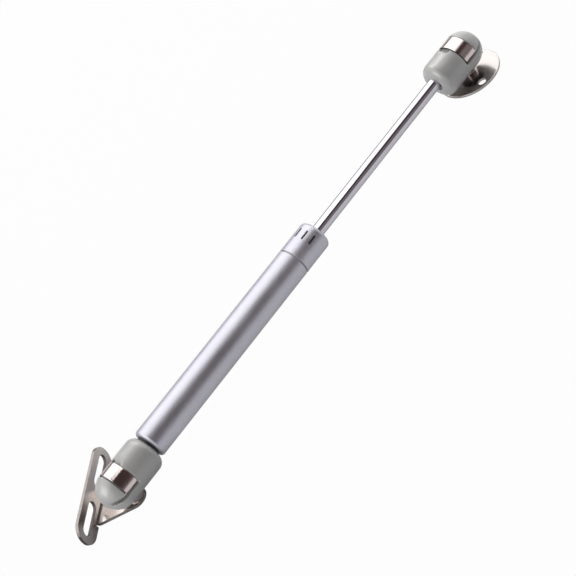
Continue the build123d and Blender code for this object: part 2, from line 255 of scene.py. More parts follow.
BRACKET_NICKEL = SHEET_NICKEL.like("bracket_nickel", (0.60, 0.555, 0.53), 0.22)
SHEARED_EDGE = Finish(
    "sheared_edge", (0.46, 0.43, 0.42), 0.36, Grain.ROLLED, metallic=1.0,
    shade=0.18, rough_spread=0.08, grain_size=0.20 * MM, bump=0.006 * MM,
)
BLANKED_WALL = SHEARED_EDGE.like("blanked_wall", (0.28, 0.255, 0.245), 0.30)
# Near-black finish that paints shade: on the clip's side faces, so the gap round the clip reads dark, and on
# the bracket's rounded edges, slot walls and inside of the fold.
EDGE_PAINTED_SHADE = SHEARED_EDGE.like("edge_painted_shade", (0.10, 0.085, 0.08), 0.45, metallic=0.8, shade=0.20)
STUD_NICKEL = Finish(
    "stud_nickel", (0.62, 0.57, 0.55), 0.18, Grain.TURNED, metallic=1.0,
    shade=0.10, grain_size=0.20 * MM, bump=0.004 * MM,
)
OILED_STEEL = Finish(
    "oiled_steel", (0.42, 0.42, 0.44), 0.30, Grain.TURNED, metallic=1.0, shade=0.15, bump=0.006 * MM,
)
# Near-black finish for the end plug: painted shade, so the gap between the tube and its socket reads black.
PLUG_PAINTED_SHADE = OILED_STEEL.like("plug_painted_shade", (0.05, 0.05, 0.055), 0.42, metallic=0.6)
PISTON_METAL = OILED_STEEL.like("machined_piston", (0.62, 0.62, 0.63), 0.34, shade=0.12)
GUIDE_PLASTIC = Finish("moulded_black_nylon", (0.05, 0.05, 0.055), 0.40, Grain.MOULDED, shade=0.2)
SEAL_RUBBER = GUIDE_PLASTIC.like("seal_rubber", (0.02, 0.02, 0.02), 0.55, shade=0.3)
BLACK_INK = SEAL_RUBBER.like("black_ink", (0.02, 0.02, 0.022), 0.45)


def new_object(name: str, data: bpy.types.ID) -> Piece:
    """Make an object and link it to the scene.

    Args:
        name: The name of the object and its data.
        data: Its mesh, curve, lamp or camera.

    Returns:
        The object.
    """
    data.name = name
    made = bpy.data.objects.new(name, data)
    bpy.context.scene.collection.objects.link(made)
    return made


def mesh_object(name: str, verts: Sequence[Any], faces: Sequence[Sequence[int]]) -> Piece:
    """Make an object of plain points and faces.

    Args:
        name: The name of the object and its mesh.
        verts: The points.
        faces: The faces, each as the numbers of its points.

    Returns:
        The object.
    """
    mesh = bpy.data.meshes.new(name)
    mesh.from_pydata(verts, [], faces)
    return new_object(name, mesh)


def grid_faces(rows: int, columns: int, base: int = 0) -> list[list[int]]:
    """Return the faces of a grid of points, whose first point has the base number."""
    firsts = [base + row * (columns + 1) + column for row in range(rows) for column in range(columns)]
    return [[first, first + 1, first + columns + 2, first + columns + 1] for first in firsts]


def arc(centre: Sequence[float], radius: float, start: float, sweep: float, steps: int) -> list[Point]:
    """Return the points of an arc from its start angle through its sweep, both ends included."""
    angles = [start + sweep * step / steps for step in range(steps + 1)]
    return [(centre[0] + radius * math.cos(a), centre[1] + radius * math.sin(a)) for a in angles]


def ball_of(end: str) -> tuple[Vector, float]:
    """Return the centre and the radius of the ball at one end of the strut."""
    low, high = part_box(end + "_ball_stud")
    return Vector(((low.x + high.x) / 2, 0, high.z - (high.x - low.x) / 2)), (high.x - low.x) / 2


def evaluated_mesh(source: Piece) -> Mesh:
    """Return a plain mesh of an object with its modifiers worked out."""
    bpy.context.view_layer.update()
    return bpy.data.meshes.new_from_object(source.evaluated_get(bpy.context.evaluated_depsgraph_get()))


@contextmanager
def edited(mesh: Mesh) -> Iterator[bmesh.types.BMesh]:
    """Open a mesh for editing and write the changes back at the end.

    Args:
        mesh: The mesh, which may be empty.

    Returns:
        A context that holds the opened mesh.
    """
    work = bmesh.new()
    work.from_mesh(mesh)
    yield work
    work.to_mesh(mesh)
    work.free()


def close_up(mesh: Mesh) -> None:
    """Merge doubled points of a closed mesh and turn its faces outwards.

    Args:
        mesh: The mesh.
    """
    with edited(mesh) as work:
        bmesh.ops.remove_doubles(work, verts=work.verts, dist=SAME_PLACE)
        bmesh.ops.recalc_face_normals(work, faces=work.faces)
        for face in work.faces:
            face.smooth = True


def modify(piece: Piece, kind: str, **settings: Any) -> None:
    """Add one modifier and apply it to the mesh at once.

    Args:
        piece: The object, which ends with no modifiers.
        kind: The modifier's type name.
        **settings: Its properties.
    """
    modifier = piece.modifiers.new(kind.lower(), kind)
    for name, value in settings.items():
        setattr(modifier, name, value)
    mesh = evaluated_mesh(piece)
    piece.modifiers.clear()
    old = piece.data
    piece.data = mesh
    bpy.data.meshes.remove(old)
    mesh.name = piece.name


def bevel(piece: Piece, width: float, segments: int, degrees: float) -> None:
    """Round the edges of a piece that turn by more than some degrees."""
    limit = math.radians(degrees)
    modify(piece, "BEVEL", width=width, segments=segments, limit_method="ANGLE", angle_limit=limit)


def even_shading(piece: Piece) -> None:
    """Shade a piece smooth, with its broad faces kept flat beside their narrow bevels.

    Args:
        piece: The piece.
    """
    for face in piece.data.polygons:
        face.use_smooth = True
    modify(piece, "WEIGHTED_NORMAL", mode="FACE_AREA", weight=50, keep_sharp=False)


def paint(piece: Piece, finish: Finish, chosen: Callable[[Vector, Vector], bool] | None = None) -> None:
    """Give faces of a piece a finish.

    Args:
        piece: The piece.
        finish: The finish; it takes the place of all others where no faces are chosen.
        chosen: Tells from a face's centre and normal whether it gets the finish.
    """
    materials = piece.data.materials
    if chosen is None:
        materials.clear()
    materials.append(finish.material())
    for face in piece.data.polygons:
        if chosen is None or chosen(face.center, face.normal):
            face.material_index = len(materials) - 1


def cut(piece: Piece, cutter: Piece) -> None:
    """Cut a shape out of a piece and remove the cutter."""
    modify(piece, "BOOLEAN", operation="DIFFERENCE", solver="MANIFOLD", object=cutter)
    bpy.data.objects.remove(cutter)


def hand_over(piece: Piece, body: str, slot: str, *nodes: str) -> None:
    """Tie a finished piece to the model.

    Args:
        piece: The piece.
        body: The body that it rides on.
        slot: Its material slot; not used.
        *nodes: The nodes that it stands for.
    """
    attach(piece, body)
    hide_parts(*nodes)
    log.info("%s rides on %s, %d faces", piece.name, body, len(piece.data.polygons))


@dataclass(frozen=True)
class Corner:
    """One corner of a turned profile: its place along the axis, its radius and its rounding."""

    along: float
    radius: float
    rounding: float = 0.0

    def spot(self) -> Vector:
        """Return the corner's place in the outline."""
        return Vector((self.along, self.radius))


class Profile:
    """A turned piece's half outline."""

    STEPS = 6
    SUPPORT = 0.08 * MM
    LONG_RUN = 5 * SUPPORT

    def __init__(self, corners: Sequence[Corner | Point], closed: bool = True) -> None:
        """Work out the outline's points.

        Args:
            corners: The corners in order; a plain pair has no rounding.
            closed: Whether the last corner joins the first.
        """
        self.closed = closed
        self.corners = [c if isinstance(c, Corner) else Corner(*c) for c in corners]
        points = [point for index in range(len(corners)) for point in self._rounded(index)]
        if closed:
            points.append(points[0].copy())
        self.points = self._supported(points)

    def _rounded(self, index: int) -> list[Vector]:
        """Round one corner.

        Args:
            index: The corner's number.

        Returns:
            The points that stand for it.
        """
        corner = self.corners[index]
        here = corner.spot()
        at_end = index in (0, len(self.corners) - 1)
        if corner.rounding <= 0 or (at_end and not self.closed):
            return [here]
        back = (self.corners[index - 1].spot() - here).normalized()
        ahead = (self.corners[(index + 1) % len(self.corners)].spot() - here).normalized()
        half = math.acos(max(-1.0, min(1.0, back.dot(ahead)))) / 2
        run = corner.rounding / math.tan(half)
        centre = here + (back + ahead).normalized() * corner.rounding / math.sin(half)
        start = here + back * run - centre
        end = here + ahead * run - centre
        shares = [step / self.STEPS for step in range(self.STEPS + 1)]
        return [centre + start.lerp(end, share).normalized() * corner.rounding for share in shares]

    def _supported(self, points: list[Vector]) -> list[Vector]:
        """Add a point close to both ends of each long run, which keeps its shading flat.

        Args:
            points: The outline's points.

        Returns:
            The points with the added ones.
        """
        result = [points[0]]
        for start, end in zip(points, points[1:]):
            run = (end - start).length
            if run > self.LONG_RUN:
                aside = (end - start) / run * self.SUPPORT
                result += [start + aside, end - aside]
            if run > TINY:
                result.append(end)
        return result


class ShapeTree(NodeGraph):
    """Geometry Nodes tree with named inputs, which ends in one plain painted piece."""

    NAME = ""
    INPUTS: dict[str, str] = {}

    def __init__(self) -> None:
        """Build the tree."""
        super().__init__(bpy.data.node_groups.new(self.NAME, "GeometryNodeTree"))
        for name, kind in {**self.INPUTS, "Finish": "Material"}.items():
            self.tree.interface.new_socket(name, in_out="INPUT", socket_type="NodeSocket" + kind)
        self.tree.interface.new_socket("Piece", in_out="OUTPUT", socket_type="NodeSocketGeometry")
        self.given = self.add("NodeGroupInput").outputs
        whole = self.out("GeometryNodeRealizeInstances", {"Geometry": self.piece()})
        painted = self.out("GeometryNodeSetMaterial", {"Geometry": whole, "Material": self.given["Finish"]})
        self.add("NodeGroupOutput", {0: painted})

    def piece(self) -> Socket:
        """Add the nodes that shape the piece and return their geometry."""
        raise NotImplementedError

    @classmethod
    def apply(cls, source: Piece, name: str, values: dict[str, Any]) -> Piece:
        """Run the tree, which is built once, on an object and keep the result as a plain mesh.

        Args:
            source: The object that the tree starts from; it is removed afterwards.
            name: The result's name.
            values: Input names to values.

        Returns:
            A new object that has no modifiers.
        """
        tree = bpy.data.node_groups.get(cls.NAME) or cls().tree
        modifier = source.modifiers.new(tree.name, "NODES")
        modifier.node_group = tree
        for item in tree.interface.items_tree:
            if item.in_out == "INPUT" and item.name in values:
                modifier[item.identifier] = values[item.name]
        mesh = evaluated_mesh(source)
        bpy.data.objects.remove(source)
        return new_object(name, mesh)


class Lathe(ShapeTree):
    """Geometry Nodes tree that turns a half outline into a round piece."""

    NAME = "lathe"
    INPUTS = {"Outline": "Geometry", "Segments": "Int"}

    def piece(self) -> Socket:
        """Wind a grid round the axis, with one row for each point of the outline.

        Returns:
            The round piece's geometry.
        """
        outline, segments = self.given["Outline"], self.given["Segments"]
        count = self.out("GeometryNodeAttributeDomainSize", {0: outline})
        rows = self.math("ADD", segments, 1.0)
        grid = self.out("GeometryNodeMeshGrid", {"Vertices X": count, "Vertices Y": rows})
        index = self.out("GeometryNodeInputIndex")
        station = self.math("FLOOR", self.math("DIVIDE", self.math("ADD", index, 0.5), rows))
        step = self.math("SUBTRACT", index, self.math("MULTIPLY", station, rows))
        angle = self.math("DIVIDE", self.math("MULTIPLY", step, math.tau), segments)
        wanted = {"Geometry": outline, "Value": self.out("GeometryNodeInputPosition"), "Index": station}
        sample = self.out("GeometryNodeSampleIndex", wanted, data_type="FLOAT_VECTOR")
        split = self.add("ShaderNodeSeparateXYZ", {0: sample}).outputs
        sideways = self.math("MULTIPLY", split["Z"], self.math("SINE", angle))
        upwards = self.math("MULTIPLY", split["Z"], self.math("COSINE", angle))
        spun = self.out("ShaderNodeCombineXYZ", {0: split["X"], 1: sideways, 2: upwards})
        turned = self.out("GeometryNodeSetPosition", {"Geometry": grid, "Position": spun})
        merged = self.out("GeometryNodeMergeByDistance", {"Geometry": turned, "Distance": SAME_PLACE})
        return self.out("GeometryNodeSetShadeSmooth", {"Geometry": merged})

    @classmethod
    def turn(
        cls,
        name: str,
        corners: Sequence[Corner | Point],
        finish: Finish,
        centre: Vector,
        axis: TurnAxis = TurnAxis.STRUT,
        segments: int = 192,
        closed: bool = True,
    ) -> Piece:
        """Turn one piece.

        Args:
            name: The new object's name.
            corners: The corners of its half outline.
            finish: Its finish.
            centre: Where the outline's zero lies.
            axis: The axis it is round about.
            segments: How many faces go round it.
            closed: Whether its half outline's last corner joins the first.

        Returns:
            The piece, with its place in its mesh.
        """
        raw = mesh_object(name + "_outline", [(p.x, 0.0, p.y) for p in Profile(corners, closed).points], [])
        plain = cls.apply(raw, name, {"Segments": segments, "Finish": finish.material()})
        if axis is TurnAxis.UPRIGHT:
            plain.data.transform(Matrix.Rotation(-QUARTER, 4, "Y"))
        plain.data.transform(Matrix.Translation(centre))
        close_up(plain.data)
        return plain


class BarsRound(ShapeTree):
    """Geometry Nodes tree that repeats a piece round the strut's axis."""

    NAME = "bars_round"
    INPUTS = {"Bar": "Geometry", "Count": "Int", "First Angle": "Float", "Step Angle": "Float"}

    def piece(self) -> Socket:
        """Put an instance of the bar at each angle.

        Returns:
            The bars' geometry.
        """
        stack = self.out("GeometryNodeMeshLine", {"Count": self.given["Count"], "Offset": (0, 0, 0)})
        index = self.out("GeometryNodeInputIndex")
        angle = self.math("MULTIPLY_ADD", index, self.given["Step Angle"], self.given["First Angle"])
        turn = self.out("ShaderNodeCombineXYZ", {0: angle})
        bars = {"Points": stack, "Instance": self.given["Bar"], "Rotation": turn}
        return self.out("GeometryNodeInstanceOnPoints", bars)


class HolePattern(ShapeTree):
    """Geometry Nodes tree that cuts a circle of round holes through a sheet."""

    DRILL_SIDES = 64
    NAME = "hole_pattern"
    INPUTS = {
        "Sheet": "Geometry", "Count": "Int", "Circle Radius": "Float",
        "Hole Radius": "Float", "First Angle": "Float", "Depth": "Float",
    }

    def piece(self) -> Socket:
        """Cut the sheet with a drill at each point of the circle.

        Returns:
            The holed sheet's geometry.
        """
        given = self.given
        circle = {"Vertices": given["Count"], "Radius": given["Circle Radius"]}
        turn = self.out("ShaderNodeCombineXYZ", {2: given["First Angle"]})
        ring = {"Geometry": self.out("GeometryNodeMeshCircle", circle), "Rotation": turn}
        size = {"Vertices": self.DRILL_SIDES, "Radius": given["Hole Radius"], "Depth": given["Depth"]}
        drill = self.out("GeometryNodeMeshCylinder", size)
        drills = {"Points": self.out("GeometryNodeTransform", ring), "Instance": drill}
        many = self.out("GeometryNodeInstanceOnPoints", drills)
        parts = {0: given["Sheet"], 1: self.out("GeometryNodeRealizeInstances", {"Geometry": many})}
        return self.out("GeometryNodeMeshBoolean", parts, operation="DIFFERENCE", solver="EXACT")


@dataclass
class PressureTube:
    """The drawn tube with its rolled ends, its groove and the ink mark near the rod."""

    wall: float = 1.0 * MM
    rim_radius: float = 1.7 * MM
    plug_rim_radius: float = 1.6 * MM
    groove_offset: float = 16.6 * MM
    groove_half: float = 0.45 * MM
    groove_depth: float = 0.4 * MM
    groove_edge: float = 0.16 * MM
    groove_round: float = 0.25 * MM
    groove_shade_start: float = 0.12 * MM
    plug_opening: float = 5.25 * MM
    rod_opening: float = 5.0 * MM
    inner_edge: float = 0.2 * MM
    bar_count: int = 3
    bar_length: float = 4.9 * MM
    bar_width: float = 0.95 * MM
    bar_proud: float = 0.02 * MM
    bar_offset: float = 6.0 * MM
    bar_first: float = math.radians(83)
    bar_step: float = math.radians(30)
    bar_faces: tuple[int, int] = (14, 4)
    bar_blunt: float = 0.2

    def build(self) -> None:
        """Build the tube and its mark."""
        low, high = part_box("tube")
        centre = Vector((0, 0, (low.z + high.z) / 2))
        outer = (high.z - low.z) / 2
        bore = outer - self.wall
        groove = high.x - self.groove_offset
        corners = [
            Corner(low.x, outer, self.plug_rim_radius),
            Corner(groove - self.groove_half, outer, self.groove_edge),
            Corner(groove, outer - self.groove_depth, self.groove_round),
            Corner(groove + self.groove_half, outer, self.groove_edge),
            Corner(high.x, outer, self.rim_radius),
            Corner(high.x, self.rod_opening, self.inner_edge),
            Corner(high.x - self.wall, self.rod_opening, self.inner_edge),
            (high.x - self.wall, bore),
            (low.x + self.wall, bore),
            Corner(low.x + self.wall, self.plug_opening, self.inner_edge),
            Corner(low.x, self.plug_opening, self.inner_edge),
        ]
        tube = Lathe.turn("pressure_tube", corners, LACQUER, centre, segments=224)
        # The groove's floor, below its lit edges, gets painted shade.
        floor = outer - self.groove_shade_start
        paint(
            tube,
            GROOVE_PAINTED_SHADE,
            lambda place, _: abs(place.x - groove) < self.groove_half and (place - centre).yz.length < floor,
        )
        hand_over(tube, "cylinder", "tube_steel", "tube")
        self._mark(Vector((high.x - self.bar_offset, 0, centre.z)), outer)

    def _mark(self, centre: Vector, radius: float) -> None:
        """Print the short plain ink bars round the tube's rod end.

        Args:
            centre: The bars' middle on the tube's axis.
            radius: The tube's outer radius.
        """
        columns, rows = self.bar_faces
        cap = self.bar_width / 2
        verts: list[Triple] = []
        for level in (radius + self.bar_proud, radius - self.bar_proud):
            for column in range(columns + 1):
                x = self.bar_length * (column / columns - 0.5)
                past = max(0.0, abs(x) - (self.bar_length / 2 - cap))
                half = math.sqrt(max(cap ** 2 - past ** 2, (self.bar_blunt * cap) ** 2))
                for row in range(rows + 1):
                    angle = half / radius * (2 * row / rows - 1)
                    verts.append((x, level * math.cos(angle), level * math.sin(angle)))
        faces = grid_faces(columns, rows) + grid_faces(columns, rows, len(verts) // 2)
        bar = mesh_object("ink_bar", verts, faces)
        with edited(bar.data) as work:
            bmesh.ops.bridge_loops(work, edges=[edge for edge in work.edges if edge.is_boundary])
        values = {
            "Count": self.bar_count,
            "First Angle": self.bar_first,
            "Step Angle": self.bar_step,
            "Finish": BLACK_INK.material(),
        }
        bars = BarsRound.apply(bar, "ink_bars", values)
        bars.data.transform(Matrix.Translation(centre))
        close_up(bars.data)
        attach(bars, "cylinder")
        log.info("%s ride on the cylinder, %d bars", bars.name, self.bar_count)


@dataclass
class PistonRod:
    """The chromed rod with its reduced tail and its riveted end."""

    tail_radius: float = 1.8 * MM
    rivet_radius: float = 2.7 * MM
    rivet_length: float = 0.8 * MM
    stack_length: float = 4.0 * MM
    thread_radius: float = 2.97 * MM
    thread_length: float = 8.2 * MM
    edge: float = 0.2 * MM

    def build(self) -> None:
        """Build the rod."""
        low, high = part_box("rod")
        centre = Vector((0, 0, (low.z + high.z) / 2))
        radius = (high.z - low.z) / 2
        rivet_end = low.x + self.rivet_length
        shoulder = rivet_end + self.stack_length
        thread = high.x - self.thread_length
        corners = [
            (low.x, 0.0),
            Corner(low.x, self.rivet_radius, 2 * self.edge),
            Corner(rivet_end, self.rivet_radius, self.edge),
            (rivet_end, self.tail_radius),
            (shoulder, self.tail_radius),
            Corner(shoulder, radius, self.edge),
            (thread, radius),
            (thread, self.thread_radius),
            Corner(high.x, self.thread_radius, self.edge),
            (high.x, 0.0),
        ]
        rod = Lathe.turn("piston_rod", corners, HARD_CHROME, centre, segments=128, closed=False)
        hand_over(rod, "rod", "chrome", "rod")


@dataclass
class SocketEnd:
    """One end of the strut: the moulded ball socket and its sheet steel clip.

    Its way is 1 where the strut lies on the ball's +X side, and -1 at the other end. Its
    axis lies its offset below the ball's centre. Over is how far the cutters reach past
    the shell, and nudge keeps their faces off one another.
    """

    end: str
    way: int
    body: str
    offset: float = 1.0 * MM
    shoulder_radius: float = 4.0 * MM
    ball_seat: float = 5.05 * MM
    mouth_flare: float = 1.6 * MM
    thread_radius: float = 3.0 * MM
    thread_depth: float = 10.5 * MM
    entry_radius: float = 3.5 * MM
    entry_depth: float = 2.0 * MM
    entry_edge: float = 0.2 * MM
    clip_width: float = 6.9 * MM
    clip_gap: float = 0.30 * MM
    wide_gap: float = 0.65 * MM
    clip_thickness: float = 0.65 * MM
    clip_sink: float = 0.12 * MM
    clip_bottom: float = -0.575 * MM
    clip_bend: float = 0.9 * MM
    clip_edge: float = 0.14 * MM
    clip_inset: float = 0.05 * MM
    clip_columns: int = 12
    side_slope: float = 0.5
    tab_steps: int = 6
    band_steps: int = 72
    seat_radius: float = 8.1 * MM
    slit_top: float = 0.4 * MM
    slit_bottom: float = -1.4 * MM
    slit_floor: float = 4.6 * MM
    notch_width: float = 5.6 * MM
    notch_length: float = 3.4 * MM
    notch_depth: float = 1.5 * MM
    notch_lift: float = 0.1 * MM
    hook_reach: float = 2.3 * MM
    dome_steps: int = 28
    seat_steps: int = 24
    voxel: float = 0.21 * MM
    nudge: float = 0.02 * MM
    over: float = 1.0 * MM

    def build(self) -> None:
        """Build the socket and its clip."""
        self.ball, _ = ball_of(self.end)
        self.side = self.end.replace("_end", "") + "_side_"
        low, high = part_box(self.end + "_socket")
        self.radius = (high.y - low.y) / 2
        reaches = (abs(high.x - self.ball.x), abs(self.ball.x - low.x))
        self.reach, self.dome = reaches if self.way > 0 else reaches[::-1]
        self.mouth_depth = self.ball.z - low.z
        self.outside = self.radius + self.over
        self.own = self._local(0, 0, -self.offset)
        self.seat_half = self.clip_width / 2 + (self.clip_gap if self.way > 0 else self.wide_gap)
        self._socket()
        self._clip()

    def _local(self, x: float, y: float, z: float) -> Vector:
        """Return a point given from the ball's centre, x towards the strut."""
        return self.ball + Vector((self.way * x, y, z))

    def _block(self, corner: Triple, far_corner: Triple) -> Piece:
        """Make a box cutter between two corners, which are given from the ball's centre.

        Args:
            corner: One corner.
            far_corner: The corner across the box from it.

        Returns:
            The cutter.
        """
        first, second = self._local(*corner), self._local(*far_corner)
        sides = [abs(side) for side in second - first]
        cutter = new_object("block", bpy.data.meshes.new("block"))
        with edited(cutter.data) as work:
            bmesh.ops.create_cube(work, size=1.0)
            work.transform(Matrix.Translation((first + second) / 2) @ Matrix.Diagonal((*sides, 1)))
        return cutter

    def _socket(self) -> None:
        """Build the moulded socket."""
        shell = self._shell()
        cut(shell, self._mouth())
        cut(shell, self._recess())
        for side in (-1, 1):
            start = (-self.dome - self.over, side * self.slit_floor, self.slit_bottom + self.nudge)
            stop = (self.seat_half - self.nudge, side * self.outside, self.slit_top)
            cut(shell, self._block(start, stop))
        cut(shell, self._notch())
        far, wide = 2 * self.reach, 2 * self.outside
        cut(shell, self._block((-far, -wide, -far), (far, wide, -self.mouth_depth)))
        modify(shell, "REMESH", mode="VOXEL", voxel_size=self.voxel, use_smooth_shade=True)
        modify(shell, "SMOOTH", factor=0.5, iterations=5)
        paint(shell, SOCKET_PLASTIC)
        hand_over(shell, self.body, "socket_plastic", self.end + "_socket")

    def _shell(self) -> Piece:
        """Turn the socket's round outer shape with its threaded hole.

        Returns:
            The shell.
        """
        dome_centre = self.radius - self.dome
        entry_end = self.reach - self.entry_depth
        thread_end = self.reach - self.thread_depth
        dome = arc((dome_centre, 0), self.radius, math.pi, -QUARTER, self.dome_steps)
        corners = [Corner(*pair) for pair in dome] + [
            Corner(self.reach, self.radius, self.shoulder_radius),
            Corner(self.reach, self.entry_radius, self.entry_edge),
            Corner(entry_end, self.entry_radius),
            Corner(entry_end, self.thread_radius),
            Corner(thread_end, self.thread_radius),
            Corner(thread_end, 0.0),
        ]
        corners = [replace(corner, along=self.way * corner.along) for corner in corners]
        return Lathe.turn(self.side + "socket", corners, SOCKET_PLASTIC, self.own, closed=False)

    def _mouth(self) -> Piece:
        """Turn the cutter for the ball's seat and its flared mouth.

        Returns:
            The cutter.
        """
        bottom = -self.mouth_depth
        flared = self.ball_seat + self.mouth_flare
        corners = arc((0, 0), self.ball_seat, 0, QUARTER, self.seat_steps)
        corners += [(bottom + self.mouth_flare, self.ball_seat), (bottom, flared)]
        corners += [(bottom - self.over, flared), (bottom - self.over, 0.0)]
        return Lathe.turn(
            "mouth", corners, SOCKET_PLASTIC, self.ball, TurnAxis.UPRIGHT, segments=96, closed=False
        )

    def _recess(self) -> Piece:
        """Turn the cutter for the clip's seat round the back half.

        Returns:
            The cutter.
        """
        low = -self.clip_width / 2 - self.wide_gap
        high = self.clip_width / 2 + self.clip_gap
        inside, outside = self.seat_radius, self.outside
        corners = [(low, inside), (low, outside), (high, outside), (high, inside)]
        ring = Lathe.turn("recess", corners, SOCKET_PLASTIC, self.own)
        reach = outside + self.over
        cut(ring, self._block((-reach, -reach, -2 * reach), (reach, reach, self.slit_bottom)))
        return ring

    def _notch(self) -> Piece:
        """Make the wedge cutter for the screwdriver notch beside the clip.

        Returns:
            The cutter.
        """
        top = self.radius - self.offset + self.notch_lift
        low = self.radius - self.offset - self.notch_depth
        short, long = self.seat_half + self.nudge, self.seat_half + self.notch_length
        outline = [(0.0, low), (short, low), (long, top), (0.0, top)]
        half = self.notch_width / 2
        points = [self._local(x, side * half, z) for side in (-1, 1) for x, z in outline]
        faces = [[0, 1, 2, 3], [4, 5, 6, 7], [0, 1, 5, 4], [1, 2, 6, 5], [2, 3, 7, 6], [3, 0, 4, 7]]
        notch = mesh_object("notch", points, faces)
        close_up(notch.data)
        return notch

    def _clip_rows(self) -> list[Triple]:
        """Follow the middle of the clip's sheet from one tab round the back to the other.

        Returns:
            For each row its y, its z from the ball's centre and how far its hook reaches out.
        """
        middle = self.radius - self.clip_sink - self.clip_thickness / 2
        tab_height = self.clip_bottom + self.clip_thickness / 2
        bend = self.clip_bend
        inner = self.slit_floor + self.clip_inset
        side_angle = math.asin((tab_height + bend + self.offset) / middle)
        bend_y = middle * math.cos(side_angle) - bend
        tabs = self.tab_steps
        across = [inner + (bend_y - inner) * step / tabs for step in range(tabs + 1)]
        rows = [(y, tab_height, self.hook_reach) for y in across]
        turned = arc((bend_y, tab_height + bend), bend, -QUARTER, QUARTER - side_angle, tabs)[1:]
        rows += [(y, z, 0.0) for y, z in turned]
        other = [(-y, z, hook) for y, z, hook in reversed(rows)]
        band = arc((0, -self.offset), middle, side_angle, math.pi - 2 * side_angle, self.band_steps)[1:-1]
        return rows + [(y, z, 0.0) for y, z in band] + other

    def _clip(self) -> None:
        """Build the clip: a band bent round the back, with a hook under each side."""
        half = self.clip_width / 2
        columns = self.clip_columns
        rows = self._clip_rows()
        verts = []
        for y, z, hook in rows:
            for column in range(columns + 1):
                verts.append(self._local(-half - hook + (2 * half + hook) * column / columns, y, z))
        clip = mesh_object(self.side + "clip", verts, grid_faces(len(rows) - 1, columns))
        modify(clip, "SOLIDIFY", thickness=self.clip_thickness, offset=0.0, use_even_offset=True)
        close_up(clip.data)
        bevel(clip, self.clip_edge, segments=3, degrees=50)
        even_shading(clip)
        paint(clip, CLIP_NICKEL)
        # The clip's side faces get painted shade, so the gap beside the clip reads dark.
        paint(clip, EDGE_PAINTED_SHADE, lambda _, normal: abs(normal.x) > self.side_slope)
        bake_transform(clip)
        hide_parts(self.end + "_clip")
        log.info("%s springs from %s, %d faces", clip.name, self.body, len(clip.data.polygons))


@dataclass
class BallStud:
    """A turned ball stud, riveted in its sheet."""

    end: str
    body: str
    neck_radius: float = 3.0 * MM
    neck_round: float = 0.4 * MM
    collar_radius: float = 4.25 * MM
    collar_height: float = 2.3 * MM
    collar_edge: float = 0.15 * MM
    collar_round: float = 0.5 * MM
    shank_radius: float = 2.5 * MM
    shank_gap: float = 0.03 * MM
    rivet_radius: float = 3.4 * MM
    rivet_gap: float = 0.04 * MM
    rivet_depth: float = 0.7 * MM
    rivet_edge: float = 0.1 * MM
    seat_gap: float = 0.02 * MM
    ball_steps: int = 36

    def build(self, sheet: float) -> None:
        """Build the stud.

        Args:
            sheet: The thickness of the sheet that it is riveted in.
        """
        centre, ball = ball_of(self.end)
        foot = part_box(self.end + "_ball_stud")[0].z
        height = centre.z - foot
        collar = sheet + self.collar_height
        corners = [
            (0.0, 0.0),
            Corner(0.0, self.rivet_radius, self.rivet_edge),
            (self.rivet_depth, self.shank_radius),
            (sheet + self.seat_gap, self.shank_radius),
            Corner(sheet + self.seat_gap, self.collar_radius, self.collar_edge),
            Corner(collar, self.collar_radius, self.collar_round),
            Corner(collar, self.neck_radius, self.neck_round),
        ]
        sweep = math.pi - math.asin(self.neck_radius / ball)
        corners += arc((height, 0), ball, sweep, -sweep, self.ball_steps)
        place = Vector((centre.x, 0, foot))
        name = self.end.replace("_end", "") + "_side_ball_stud"
        upright = TurnAxis.UPRIGHT
        stud = Lathe.turn(name, corners, STUD_NICKEL, place, upright, segments=128, closed=False)
        hand_over(stud, self.body, "stud_steel", self.end + "_ball_stud")


@dataclass
class RoundPlate:
    """The pressed round plate with its screw holes."""

    hole_circle: float = 23.0 * MM
    hole_diameter: float = 4.2 * MM
    hole_count: int = 3
    hole_angle: float = math.radians(-107.5)
    edge: float = 0.3 * MM
    stud_hole: float = BallStud.shank_radius + BallStud.shank_gap
    rivet_seat: float = BallStud.rivet_radius + BallStud.rivet_gap
    rivet_depth: float = BallStud.rivet_depth + BallStud.seat_gap
    rim: float = 0.12 * MM
    drill_depth: float = 8
    wall_slope: float = 0.5

    def build(self) -> float:
        """Build the plate.

        Returns:
            Its thickness.
        """
        low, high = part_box("round_plate")
        centre = Vector(((low.x + high.x) / 2, (low.y + high.y) / 2, low.z))
        thickness = high.z - low.z
        radius = (high.x - low.x) / 2
        corners = [
            (self.rivet_depth, self.stud_hole),
            (0.0, self.rivet_seat),
            Corner(0.0, radius, self.edge),
            Corner(thickness, radius, self.edge),
            (thickness, self.stud_hole),
        ]
        blank = Lathe.turn("plate_blank", corners, SHEET_NICKEL, centre, TurnAxis.UPRIGHT)
        values = {
            "Count": self.hole_count,
            "Circle Radius": self.hole_circle / 2,
            "Hole Radius": self.hole_diameter / 2,
            "First Angle": self.hole_angle,
            "Depth": self.drill_depth * thickness,
            "Finish": SHEET_NICKEL.material(),
        }
        plate = HolePattern.apply(blank, "lid_plate", values)
        bevel(plate, self.rim, segments=2, degrees=60)
        even_shading(plate)
        paint(plate, SHEET_NICKEL)
        paint(plate, SHEARED_EDGE, lambda _, normal: abs(normal.z) < self.wall_slope)
        hand_over(plate, "round_plate", "plated_sheet", "round_plate")
        return thickness


